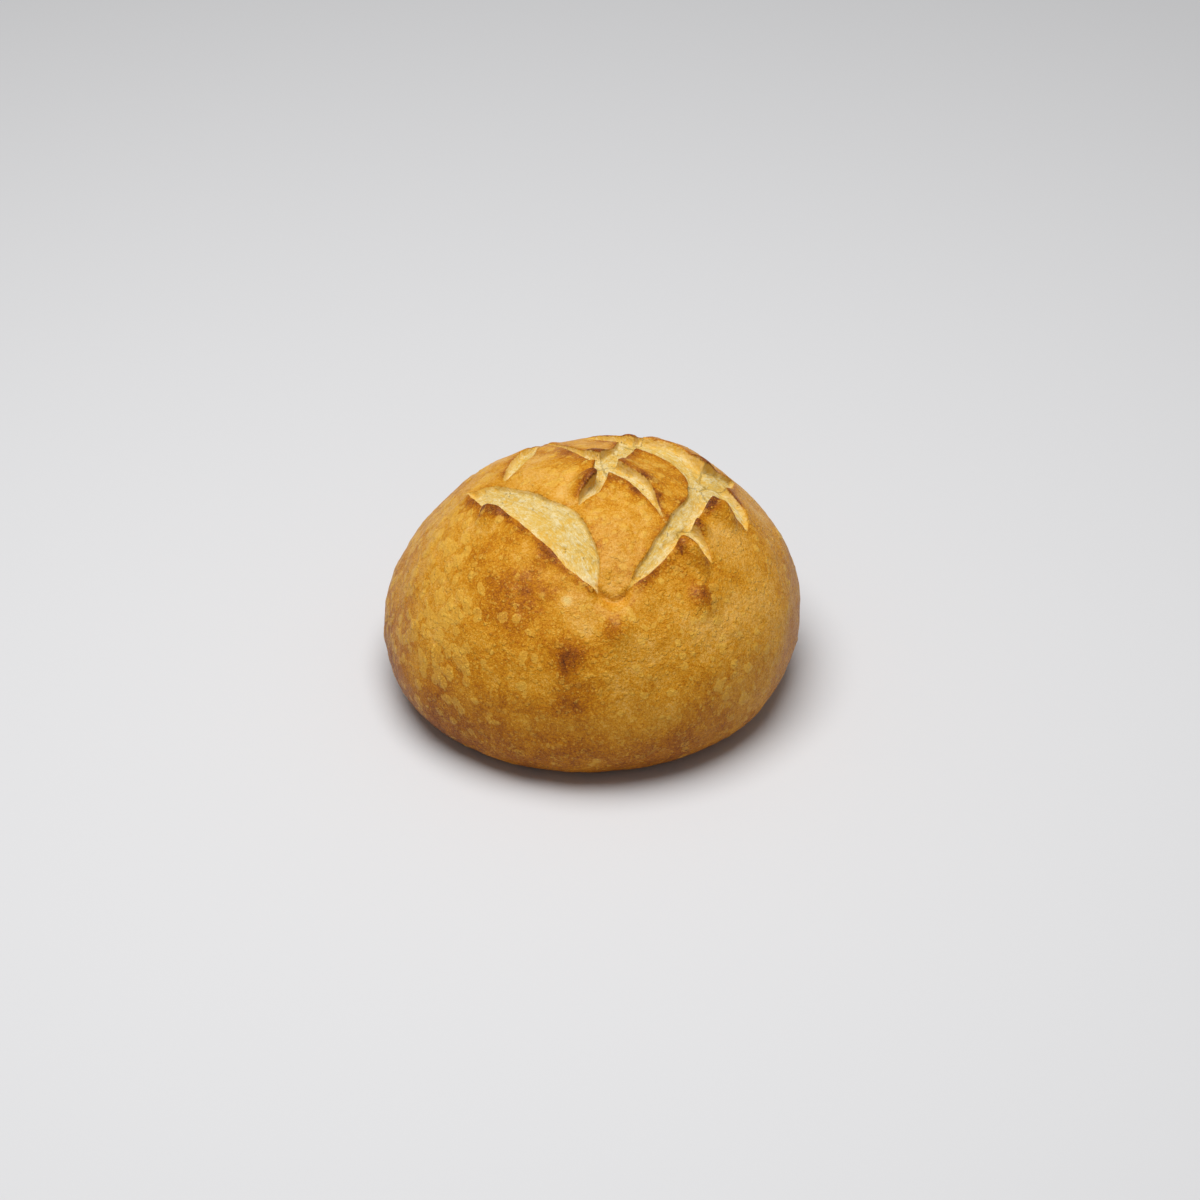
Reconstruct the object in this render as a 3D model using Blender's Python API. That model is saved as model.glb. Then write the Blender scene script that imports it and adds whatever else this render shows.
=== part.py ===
"""A round sourdough loaf as one closed solid: a dome with a flat base, opened slashes
in its crust, and the raised rims and curled tips beside them.

The loaf stands on the ground plane with its base around the origin and +Z up.
Sizes are in millimetres until the mesh is made, which is in metres.
"""

import math
from collections import namedtuple

import bmesh
import bpy
import numpy as np

MM = 0.001
NAME = "sourdough_loaf"
NODE = "loaf"

# The dome: an upper and a lower curve that meet at the widest height.
LOAF_HEIGHT = 90.9
WIDEST_RADIUS = 79.9
WIDEST_HEIGHT = 24.5
BASE_RADIUS = 56.0
UPPER_ROUNDNESS = 1.98
LOWER_ROUNDNESS = 2.1
BASE_SAG = 0.8  # cut away again, which leaves the base flat
TOP_LEAN_X = 5.2
TOP_LEAN_Y = 0.1
OUTLINE_WAVES = ((2, 0.0053, 0.0119), (3, -0.0038, -0.0036))
LOWER_CURVE_END = math.radians(150)

# The mesh before it is thinned out.
CELLS_PER_SIDE = 96
TOP_CROWDING = 0.45  # under 1 gives the top smaller cells than the base
EDGE_CROWDING = 0.55
EDGE_CROWDING_REACH = 1.6
MOST_TRIANGLES = 9300

CRUST_COLOUR = (0.60, 0.30, 0.08, 1.0)
CRUST_ROUGHNESS = 0.55

# One side of a slash: how high the crust's rim stands up beside it, and how far its
# floor lies under the crust there.
Side = namedtuple("Side", "rim drop")

# A slash: (x, y, half width) along its middle from the root to the tip, its left and
# right sides, and how much its floor is hollowed between them.
Slash = namedtuple("Slash", "middle left right hollow")

SLASHES = {
    "front_left": Slash(
        (
            (-49.5, 13.5, 0.2),
            (-44.0, 7.6, 2.0),
            (-39.0, 3.2, 5.4),
            (-34.0, -3.7, 7.0),
            (-27.0, -9.9, 6.8),
            (-18.3, -19.2, 8.3),
            (-10.9, -26.9, 9.0),
            (-5.2, -35.7, 8.0),
            (-1.5, -42.7, 5.8),
            (1.2, -48.2, 2.8),
            (3.8, -52.5, 0.2),
        ),
        Side(0.2, 0.5),
        Side(1.4, 1.2),
        1.0,
    ),
    "front_left_notch": Slash(
        (
            (-35.5, -1.0, 2.0),
            (-38.2, -4.0, 1.5),
            (-40.0, -7.5, 1.0),
            (-40.8, -12.0, 0.2),
        ),
        Side(0.8, 0.9),
        Side(0.3, 0.9),
        0.3,
    ),
    "front_right": Slash(
        (
            (14.0, -51.3, 0.2),
            (16.4, -48.2, 1.1),
            (20.0, -43.5, 2.9),
            (25.6, -36.0, 3.9),
            (30.4, -28.5, 4.2),
            (34.2, -20.8, 4.8),
            (38.5, -12.3, 4.5),
            (41.3, -4.3, 4.8),
            (42.6, 4.5, 6.0),
            (40.8, 12.5, 6.4),
            (35.4, 20.2, 5.8),
            (28.0, 26.3, 5.8),
            (18.5, 31.2, 5.6),
            (9.5, 38.0, 3.6),
            (1.5, 45.0, 1.8),
            (-4.0, 50.0, 0.2),
        ),
        Side(0.3, 0.3),
        Side(1.3, 1.3),
        0.7,
    ),
    "back_left": Slash(
        (
            (-32.6, 8.2, 0.6),
            (-30.6, 12.0, 2.6),
            (-28.0, 18.0, 3.6),
            (-25.4, 26.0, 3.9),
            (-22.6, 34.0, 3.0),
            (-19.5, 44.0, 1.6),
            (-17.0, 52.0, 0.2),
        ),
        Side(0.8, 1.0),
        Side(0.3, 0.8),
        0.5,
    ),
    "cross_front": Slash(
        (
            (-4.0, -17.0, 0.6),
            (-1.6, -13.0, 2.6),
            (1.4, -9.2, 3.6),
            (3.4, -5.2, 3.0),
            (4.6, -0.5, 3.4),
            (5.0, 6.0, 4.4),
        ),
        Side(1.2, 1.4),
        Side(0.7, 1.1),
        0.6,
    ),
    "cross_back_left": Slash(
        (
            (5.0, 6.0, 4.4),
            (-0.3, 13.0, 3.4),
            (-4.4, 20.0, 2.3),
            (-9.5, 29.2, 1.7),
            (-14.5, 39.0, 1.4),
            (-19.0, 49.0, 0.2),
        ),
        Side(0.5, 1.0),
        Side(0.5, 1.0),
        0.4,
    ),
    "cross_back": Slash(
        (
            (5.0, 6.0, 4.4),
            (8.2, 12.0, 4.8),
            (11.6, 19.5, 4.4),
            (14.5, 28.5, 4.8),
        ),
        Side(0.8, 0.7),
        Side(0.5, 0.7),
        0.6,
    ),
    "cross_right": Slash(
        (
            (5.0, 6.0, 4.4),
            (10.4, 2.6, 4.8),
            (14.6, 0.4, 4.8),
            (18.2, -3.0, 4.3),
            (21.4, -7.6, 3.4),
            (23.6, -12.0, 2.3),
            (25.4, -16.8, 1.2),
            (28.0, -23.2, 0.5),
        ),
        Side(1.5, 1.4),
        Side(0.7, 0.9),
        0.4,
    ),
    "right_front_branch": Slash(
        (
            (33.8, -24.0, 4.6),
            (37.8, -25.6, 4.4),
            (41.4, -28.0, 3.2),
            (44.4, -31.0, 1.5),
            (46.4, -33.8, 0.2),
        ),
        Side(0.5, 1.2),
        Side(0.4, 1.0),
        0.4,
    ),
    "right_branch": Slash(
        (
            (42.6, 4.5, 6.0),
            (47.8, 3.0, 7.4),
            (52.4, 0.0, 6.6),
            (56.2, -4.0, 3.8),
            (58.6, -7.2, 1.6),
            (60.2, -10.0, 0.2),
        ),
        Side(0.5, 1.2),
        Side(0.5, 1.4),
        0.5,
    ),
    "right_back_branch": Slash(
        (
            (42.6, 9.0, 6.2),
            (46.8, 13.6, 6.6),
            (50.8, 18.6, 4.8),
            (54.0, 24.0, 2.8),
            (56.6, 30.0, 0.2),
        ),
        Side(0.6, 0.5),
        Side(0.5, 0.7),
        0.5,
    ),
    "back_branch": Slash(
        (
            (18.0, 33.0, 3.0),
            (20.5, 42.0, 1.6),
            (24.0, 51.0, 1.2),
            (28.5, 59.0, 0.2),
        ),
        Side(0.6, 1.4),
        Side(0.6, 1.4),
        0.4,
    ),
}

# A crust tip: where it stands, how high it lifts, how far it curls over and which way,
# and its radius.
Tip = namedtuple("Tip", "x y lift curl toward radius")

TIPS = {
    "front_left_ear": Tip(-35.6, -12.0, 2.4, 1.2, 90, 5.6),
    "cross_nub": Tip(-1.2, -4.6, 4.2, 2.2, 10, 3.6),
    "cross_nub_fold": Tip(-4.4, -8.4, 1.6, 0.6, 20, 3.0),
    "right_front_ear": Tip(36.2, -33.0, 3.7, 1.8, 110, 3.9),
    "right_front_fold": Tip(40.6, -35.2, 2.8, 1.2, 100, 3.6),
    "right_ear": Tip(46.4, -9.4, 3.8, 1.8, 110, 4.0),
    "right_ear_fold": Tip(51.0, -10.8, 2.8, 1.2, 90, 3.7),
    "right_low_ear": Tip(41.8, -20.5, 2.0, 0.9, 150, 2.8),
    "right_back_ear": Tip(42.6, 21.5, 2.4, 1.0, 230, 4.4),
    "back_tile_nose": Tip(2.4, 17.4, 1.4, 0.5, 280, 3.8),
    "right_tile_nose": Tip(14.4, 8.4, 1.1, 0.5, 220, 3.6),
    "centre_tile_nose": Tip(7.2, -9.0, 0.9, 0.4, 120, 3.0),
    "back_left_ear": Tip(-15.0, 43.5, 0.8, 0.4, 250, 3.0),
    "back_ear": Tip(15.5, 40.0, 0.9, 0.4, 250, 2.4),
    "back_right_ear": Tip(24.5, 39.5, 0.8, 0.4, 230, 3.0),
}

TIP_FULLNESS = 1.5  # over 1 gives the tips flatter tops and steeper sides

# A mound, or a dent where the height is negative: x, y, height and radius.
MOUNDS = {
    "crease": (9.0, -52.0, -1.0, 6.0),
    "crease_mound": (10.4, -61.8, 3.0, 5.6),
    "crease_ridge": (-6.0, -62.5, 1.2, 7.0),
    "brown_boss": (42.0, -46.5, 2.1, 4.2),
    "front_boss": (-7.5, -69.0, 1.2, 5.5),
    "left_tile": (-17.0, 8.0, 1.0, 12.0),
    "centre_tile": (13.0, -25.0, 0.8, 12.0),
    "right_tile": (25.0, 3.0, 0.8, 9.0),
    "back_dip": (6.0, 44.0, -0.9, 22.0),
    "right_dip": (64.0, 20.0, -0.7, 14.0),
    "back_flap": (36.0, 32.0, 2.4, 12.0),
}

# A crease in the crust: (x, y, half width) along its middle, and its depth.
Crease = namedtuple("Crease", "middle depth")

CREASES = {
    "front": Crease(
        (
            (1.4, -49.6, 0.6),
            (3.8, -52.4, 1.4),
            (8.2, -54.6, 1.8),
            (12.4, -53.6, 1.5),
            (15.2, -50.0, 0.6),
        ),
        2.4,
    ),
}
FULL_CREASE = 1.5  # narrower creases are shallower

RIM_REACH = 4.5
WALL_WIDTH = 1.2
RIM_OVERHANG = 0.7
OVERHANG_REACH = 1.4
WALL_UNDERCUT = 0.2
FULL_HALF_WIDTH = 2.6  # narrower slashes have lower rims and shallower floors
CORNER_BLEND = 0.6

# How far the slash edges wander, and over what lengths.
WOBBLE = ((0.25, 17.0, 0.4), (0.07, 6.0, 2.1))
STEPS_PER_SPAN = 8
LEAST_HALF_WIDTH = 0.1
SIDE_BLEND = 0.6  # how softly a slash's left rim turns into its right one at its ends
LEAST_TURN_UP = 0.15  # slashes stay where the dome's outward direction rises this much
TINY = 1e-6

# Slow unevenness of the whole crust.
LUMP_SIZE = 38.0
LUMP_HEIGHT = 0.6
LUMP_WAVES = 9
LUMP_SPREAD = (0.8, 2.0)  # shortest and longest wave as shares of the size
LUMP_SEED = 4


def clear_scene():
    for obj in list(bpy.data.objects):
        bpy.data.objects.remove(obj)


def new_collection(name, hidden=False):
    collection = bpy.data.collections.new(name)
    bpy.context.scene.collection.children.link(collection)
    collection.hide_render = hidden
    return collection


def crust_material():
    material = bpy.data.materials.new("crust")
    material.use_nodes = True
    shader = material.node_tree.nodes["Principled BSDF"]
    shader.inputs["Base Color"].default_value = CRUST_COLOUR
    shader.inputs["Roughness"].default_value = CRUST_ROUGHNESS
    shader.inputs["Metallic"].default_value = 0.0
    return material


def subdivided_cube():
    """A cube with its sides cut into even cells, as a bmesh."""
    mesh = bmesh.new()
    bmesh.ops.create_cube(mesh, size=2.0)
    bmesh.ops.subdivide_edges(
        mesh, edges=mesh.edges[:], cuts=CELLS_PER_SIDE - 1, use_grid_fill=True
    )
    return mesh


def directions(cube_points):
    """Unit vectors for points on a cube, spaced so that cells come out alike."""
    spread = np.tan(cube_points * math.pi / 4)
    return spread / np.linalg.norm(spread, axis=1, keepdims=True)


def dome(unit):
    """The plain dome, with one point for each unit vector."""
    turn = np.arctan2(unit[:, 1], unit[:, 0])
    away = np.arccos(np.clip(unit[:, 2], -1, 1))
    away = 2 * np.arctan2(TOP_CROWDING * np.sin(away / 2), np.cos(away / 2))
    upper = np.minimum(away, math.pi / 2)
    lower_span = LOWER_CURVE_END - math.pi / 2
    lower = np.clip((away - math.pi / 2) / lower_span, 0, 1) * math.pi / 2
    inward = np.clip((math.pi - away) / (math.pi - LOWER_CURVE_END), 0, 1)

    rise = LOAF_HEIGHT - WIDEST_HEIGHT
    drop = WIDEST_HEIGHT + BASE_SAG
    flare = (WIDEST_RADIUS - BASE_RADIUS) * np.abs(np.cos(lower)) ** (2 / LOWER_ROUNDNESS)
    above = away < math.pi / 2
    radius = np.where(
        above,
        WIDEST_RADIUS * np.sin(upper) ** (2 / UPPER_ROUNDNESS),
        (BASE_RADIUS + flare) * inward,
    )
    height = np.where(
        above,
        WIDEST_HEIGHT + rise * np.abs(np.cos(upper)) ** (2 / UPPER_ROUNDNESS),
        WIDEST_HEIGHT - drop * np.sin(lower) ** (2 / LOWER_ROUNDNESS),
    )
    swell = np.ones_like(turn)
    for count, cosine, sine in OUTLINE_WAVES:
        swell += cosine * np.cos(count * turn) + sine * np.sin(count * turn)
    share = height / LOAF_HEIGHT
    across = radius * swell * np.cos(turn) + TOP_LEAN_X * share
    deep = radius * swell * np.sin(turn) + TOP_LEAN_Y * share
    return np.stack((across, deep, height), axis=1)


def smooth_path(rows):
    """Points along a smooth curve through the rows, each (x, y, half width)."""
    rows = np.array(rows, float)
    padded = np.vstack((2 * rows[0] - rows[1], rows, 2 * rows[-1] - rows[-2]))
    found = []
    for before, start, end, after in zip(padded, padded[1:], padded[2:], padded[3:]):
        for t in np.arange(STEPS_PER_SPAN) / STEPS_PER_SPAN:
            found.append(
                0.5 * (
                    2 * start
                    + (end - before) * t
                    + (2 * before - 5 * start + 4 * end - after) * t**2
                    + (3 * start - before - 3 * end + after) * t**3
                )
            )
    found.append(rows[-1])
    path = np.array(found)
    path[:, 2] = np.maximum(path[:, 2], LEAST_HALF_WIDTH)
    return path


def near_path(x, y, path):
    """Where each point lies beside a path: its distance from the path's edge, the way
    from the path's middle, from -1 on its right to 1 on its left, the half width there,
    and how far along the path that is."""
    best = np.full(len(x), np.inf)
    way = np.zeros((len(x), 2))
    side = np.zeros(len(x))
    half = np.ones(len(x))
    travel = np.zeros(len(x))
    passed = 0.0
    for start, end in zip(path, path[1:]):
        run = end - start
        length = math.hypot(run[0], run[1])
        along = ((x - start[0]) * run[0] + (y - start[1]) * run[1]) / length**2
        along = np.clip(along, 0, 1)
        off_x = x - start[0] - along * run[0]
        off_y = y - start[1] - along * run[1]
        distance = np.hypot(off_x, off_y)
        width = start[2] + along * run[2]
        nearer = distance - width < best
        scale = np.maximum(distance, TINY)
        best = np.where(nearer, distance - width, best)
        way[nearer, 0] = (off_x / scale)[nearer]
        way[nearer, 1] = (off_y / scale)[nearer]
        side = np.where(nearer, (run[0] * off_y - run[1] * off_x) / (length * scale), side)
        half = np.where(nearer, width, half)
        travel = np.where(nearer, passed + along * length, travel)
        passed += length
    return best, way, side, half, travel


def wander(x, y):
    """Where a point lies once the slash edges around it are made uneven."""
    moved_x = x.copy()
    moved_y = y.copy()
    for size, length, start in WOBBLE:
        turn = 2 * math.pi / length
        moved_x += size * np.sin(y * turn + start + np.sin(x * turn / 2))
        moved_y += size * np.sin(x * turn + 2 * start + np.sin(y * turn / 2))
    return moved_x, moved_y


def smoothstep(value, low, high):
    share = np.clip((value - low) / (high - low), 0, 1)
    return share * share * (3 - 2 * share)


def crowd_edges(points, normals):
    """Draws nearby points towards the slash edges, where the shape turns fastest."""
    x, y = points[:, 0].copy(), points[:, 1].copy()
    for slash in SLASHES.values():
        distance, way, _, _, _ = near_path(*wander(x, y), smooth_path(slash.middle))
        pull = -EDGE_CROWDING * distance * np.exp(-((distance / EDGE_CROWDING_REACH) ** 2))
        x += pull * way[:, 0]
        y += pull * way[:, 1]
    return slide(points, normals, x - points[:, 0], y - points[:, 1])


def slide(points, normals, across_x, across_y):
    """Moves points over the surface by a distance seen from above."""
    fall = (normals[:, 0] * across_x + normals[:, 1] * across_y) / normals[:, 2]
    return points + np.stack((across_x, across_y, -fall), axis=1)


def slash_relief(x, y):
    """The height of rims and floors at each point, the sideways shift that makes the
    rims hang over, and a value from 0 on the floors to 1 on the crust."""
    moved = wander(x, y)
    found = []
    for slash in SLASHES.values():
        found.append((slash, *near_path(*moved, smooth_path(slash.middle))))
    nearest = np.min([row[1] for row in found], axis=0)
    rim = np.zeros_like(x)
    floor = np.zeros_like(x)
    weight = np.full_like(x, TINY)
    shift = np.zeros((len(x), 2))
    for slash, distance, way, side, half, _ in found:
        leftness = smoothstep(side, -SIDE_BLEND, SIDE_BLEND)
        share = smoothstep(half, 0, FULL_HALF_WIDTH)
        rise = slash.right.rim + leftness * (slash.left.rim - slash.right.rim)
        outside = np.maximum(distance, 0)
        inside = np.maximum(-distance, 0)
        rim += rise * share * np.exp(-outside / RIM_REACH)

        across = np.clip(side * (distance + half) / half, -1, 1)
        drop = slash.right.drop + (slash.left.drop - slash.right.drop) * (across + 1) / 2
        floor += inside * share * (drop + slash.hollow * (1 - across**2))
        weight += inside

        over = RIM_OVERHANG * np.exp(-outside / OVERHANG_REACH)
        under = (WALL_UNDERCUT + RIM_OVERHANG) * smoothstep(inside, 0, WALL_WIDTH)
        hang = (under - over) * (1 - smoothstep(inside, WALL_WIDTH, FULL_HALF_WIDTH))
        hang *= share * np.minimum(rise, 1) * np.exp(-(distance - nearest) / CORNER_BLEND)
        shift += hang[:, None] * way
    crust = 1 - smoothstep(-nearest, 0, WALL_WIDTH)
    return rim * crust - floor / weight * (1 - crust), shift, crust


def tip_relief(x, y, crust):
    """The lift of the curled crust tips, and their sideways shift."""
    lift = np.zeros_like(x)
    shift = np.zeros((len(x), 2))
    for tip in TIPS.values():
        away = ((x - tip.x) ** 2 + (y - tip.y) ** 2) / tip.radius**2
        near = np.exp(-(away**TIP_FULLNESS)) * crust
        lift += tip.lift * near
        toward = math.radians(tip.toward)
        shift += (tip.curl * near)[:, None] * np.array((math.cos(toward), math.sin(toward)))
    return lift, shift


def mound_relief(x, y):
    height = np.zeros_like(x)
    for middle_x, middle_y, rise, radius in MOUNDS.values():
        height += rise * np.exp(-((x - middle_x) ** 2 + (y - middle_y) ** 2) / radius**2)
    return height


def crease_relief(x, y):
    height = np.zeros_like(x)
    for crease in CREASES.values():
        distance, _, _, half, _ = near_path(x, y, smooth_path(crease.middle))
        away = (distance + half) / half
        height -= crease.depth * np.minimum(half / FULL_CREASE, 1) * np.exp(-(away**2))
    return height


def lumps(points):
    """Slow swells in every direction, from a few waves added up."""
    draw = np.random.default_rng(LUMP_SEED)
    height = np.zeros(len(points))
    for _ in range(LUMP_WAVES):
        way = draw.normal(size=3)
        way *= 2 * math.pi / (LUMP_SIZE * draw.uniform(*LUMP_SPREAD) * np.linalg.norm(way))
        height += np.sin(points @ way + draw.uniform(0, 2 * math.pi))
    return LUMP_HEIGHT * height / math.sqrt(LUMP_WAVES)


def loaf_points(unit, normals_of):
    """Every point of the finished crust."""
    points = dome(unit)
    normals = normals_of(points)
    top = (normals[:, 2] > LEAST_TURN_UP) & (points[:, 2] > WIDEST_HEIGHT)
    points[top] = crowd_edges(points[top], normals[top])

    x, y = points[top, 0], points[top, 1]
    height, shift, crust = slash_relief(x, y)
    tip_height, tip_shift = tip_relief(x, y, crust)
    shift += tip_shift
    shaped = slide(points[top], normals[top], shift[:, 0], shift[:, 1])
    height += tip_height + mound_relief(x, y) + crease_relief(x, y)
    result = points.copy()
    result[top] = shaped + normals[top] * height[:, None]
    above_base = smoothstep(points[:, 2], 0, WIDEST_HEIGHT)
    return result + normals * (lumps(points) * above_base)[:, None]


def mesh_normals(mesh):
    """A function that gives the outward directions of the mesh's vertices when moved to
    the points that it is given."""

    def normals_of(points):
        for vertex, point in zip(mesh.verts, points):
            vertex.co = point
        mesh.normal_update()
        return np.array([vertex.normal for vertex in mesh.verts])

    return normals_of


def make_loaf(collection):
    mesh = subdivided_cube()
    cube_points = np.array([vertex.co for vertex in mesh.verts])
    points = loaf_points(directions(cube_points), mesh_normals(mesh))
    for vertex, point in zip(mesh.verts, points * MM):
        vertex.co = point
    for face in mesh.faces:
        face.smooth = True
    data = bpy.data.meshes.new(NODE)
    mesh.to_mesh(data)
    triangles = 2 * len(mesh.faces)
    mesh.free()
    data.materials.append(crust_material())
    loaf = bpy.data.objects.new(NODE, data)
    collection.objects.link(loaf)
    thin = loaf.modifiers.new("thin_out", "DECIMATE")
    thin.decimate_type = "COLLAPSE"
    thin.ratio = MOST_TRIANGLES / triangles
    thin.use_collapse_triangulate = True
    return loaf


def trim_base(loaf, collection):
    """Cuts the sagging base flat at the ground plane."""
    side = 4 * WIDEST_RADIUS * MM
    bpy.ops.mesh.primitive_cube_add(size=side, location=(0, 0, -side / 2))
    ground = bpy.context.object
    ground.name = "ground_cutter"
    for owner in list(ground.users_collection):
        owner.objects.unlink(ground)
    collection.objects.link(ground)
    ground.display_type = "WIRE"
    ground.hide_render = True
    cut = loaf.modifiers.new("flat_base", "BOOLEAN")
    cut.operation = "DIFFERENCE"
    cut.solver = "EXACT"
    cut.object = ground


def main():
    clear_scene()
    parts = new_collection(NAME)
    cutters = new_collection("cutters", hidden=True)
    loaf = make_loaf(parts)
    trim_base(loaf, cutters)


main()
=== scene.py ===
"""A round sourdough loaf: its baked crust, its opened slashes with pale crumb, and the
stage that it is shown on. The loaf stands in the frame's place and replaces its solid."""

import math
from collections import namedtuple

import bmesh
import bpy
import numpy as np
from bpy.props import FloatProperty, FloatVectorProperty, IntProperty, PointerProperty
from bpy.types import Operator, Panel, PropertyGroup
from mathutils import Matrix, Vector, kdtree


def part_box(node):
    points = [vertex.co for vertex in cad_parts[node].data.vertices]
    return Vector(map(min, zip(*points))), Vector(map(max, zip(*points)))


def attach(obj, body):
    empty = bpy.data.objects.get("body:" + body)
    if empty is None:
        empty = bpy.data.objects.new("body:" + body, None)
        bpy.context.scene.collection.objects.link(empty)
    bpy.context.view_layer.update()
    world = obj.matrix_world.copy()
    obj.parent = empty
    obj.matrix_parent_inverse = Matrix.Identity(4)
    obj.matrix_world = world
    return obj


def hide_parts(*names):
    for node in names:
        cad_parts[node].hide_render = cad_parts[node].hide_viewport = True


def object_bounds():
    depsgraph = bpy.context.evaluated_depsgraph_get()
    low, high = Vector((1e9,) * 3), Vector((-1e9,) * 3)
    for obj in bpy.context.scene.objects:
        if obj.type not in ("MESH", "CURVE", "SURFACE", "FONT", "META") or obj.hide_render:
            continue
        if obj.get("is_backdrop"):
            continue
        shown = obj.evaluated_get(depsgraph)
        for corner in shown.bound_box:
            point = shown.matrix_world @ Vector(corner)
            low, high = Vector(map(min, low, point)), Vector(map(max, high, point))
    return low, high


bl_info = {
    "name": "Sourdough Loaf",
    "version": (1, 0, 0),
    "blender": (4, 5, 0),
    "location": "3D View > Sidebar > Loaf",
    "description": "A round sourdough loaf with opened slashes and a blistered crust",
    "category": "Object",
}

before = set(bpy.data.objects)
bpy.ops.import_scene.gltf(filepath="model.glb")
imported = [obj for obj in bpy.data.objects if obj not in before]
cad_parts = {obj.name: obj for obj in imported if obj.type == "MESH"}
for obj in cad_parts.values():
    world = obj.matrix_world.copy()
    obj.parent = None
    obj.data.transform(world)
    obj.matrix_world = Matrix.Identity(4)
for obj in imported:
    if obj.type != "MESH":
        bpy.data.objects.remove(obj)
CAD_LOW, CAD_HIGH = (Vector(corner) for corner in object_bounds())
LOAF_LOW, LOAF_HIGH = (Vector(corner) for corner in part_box("loaf"))

MM = 0.001

# The dome: an upper and a lower curve that meet at the widest height, in millimetres.
LOAF_HEIGHT = 90.9
WIDEST_RADIUS = 79.9
WIDEST_HEIGHT = 24.5
BASE_RADIUS = 56.0
UPPER_ROUNDNESS = 1.98
LOWER_ROUNDNESS = 2.1
BASE_SAG = 0.8
TOP_LEAN_X = 5.2
TOP_LEAN_Y = 0.1
OUTLINE_WAVES = ((2, 0.0053, 0.0119), (3, -0.0038, -0.0036))
LOWER_CURVE_END = math.radians(150)

CELLS_PER_SIDE = 126
TOP_CROWDING = 0.6  # under 1 gives the top smaller cells than the base
EDGE_CROWDING = 0.5  # how far cells are drawn towards the slash edges, from 0 to 1
EDGE_CROWDING_REACH = 1.6

# One side of a slash: how high the crust's rim stands up beside it, and how far its
# floor lies under the crust there.
Side = namedtuple("Side", "rim drop")

# A slash: (x, y, half width) along its middle from the root to the tip, its left and
# right sides, and how much its floor is hollowed between them.
Slash = namedtuple("Slash", "middle left right hollow")

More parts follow.
